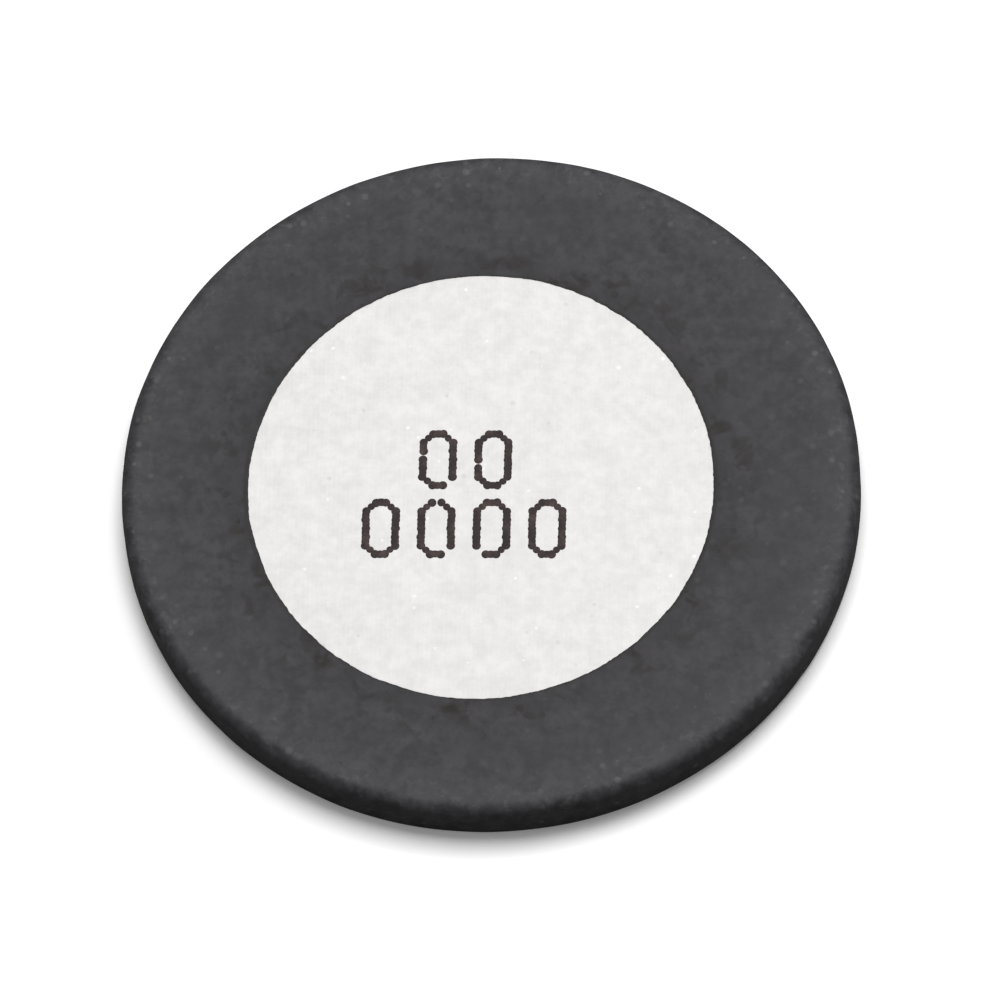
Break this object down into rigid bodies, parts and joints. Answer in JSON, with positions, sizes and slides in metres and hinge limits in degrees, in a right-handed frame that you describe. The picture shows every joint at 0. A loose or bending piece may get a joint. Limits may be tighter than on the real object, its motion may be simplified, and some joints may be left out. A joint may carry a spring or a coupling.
{
  "type": "piezoelectric vibration disc",
  "caption": "Thin round piezoceramic disc with a silver contact in the middle of its back and black enamel over the rest of the back and the rim.",
  "frame": {"origin": "centre of the plane that the working face rests on", "axes": "+Z out of the back, the face with the round silver contact; +X along the printed lines, from their left to their right; +Y towards the top of the print"},
  "size_m": [0.02, 0.02, 0.0014],
  "materials": {
    "ceramic": "fired lead zirconate titanate, matte",
    "silver": "fired silver paste, matte white with fine sparkle",
    "enamel": "black enamel, satin, finely pitted",
    "glaze": "dark glass glaze, glossy",
    "ink": "dark brown-black coder ink, dry and matte"
  },
  "bodies": {
    "root": {"ceramic_disc": "ceramic", "back_electrode": "silver", "front_electrode": "silver", "front_glaze": "glaze", "black_enamel": "enamel", "lot_digit_1_1": "ink", "lot_digit_1_2": "ink", "lot_digit_2_1": "ink", "lot_digit_2_2": "ink", "lot_digit_2_3": "ink", "lot_digit_2_4": "ink"}
  },
  "joints": []
}
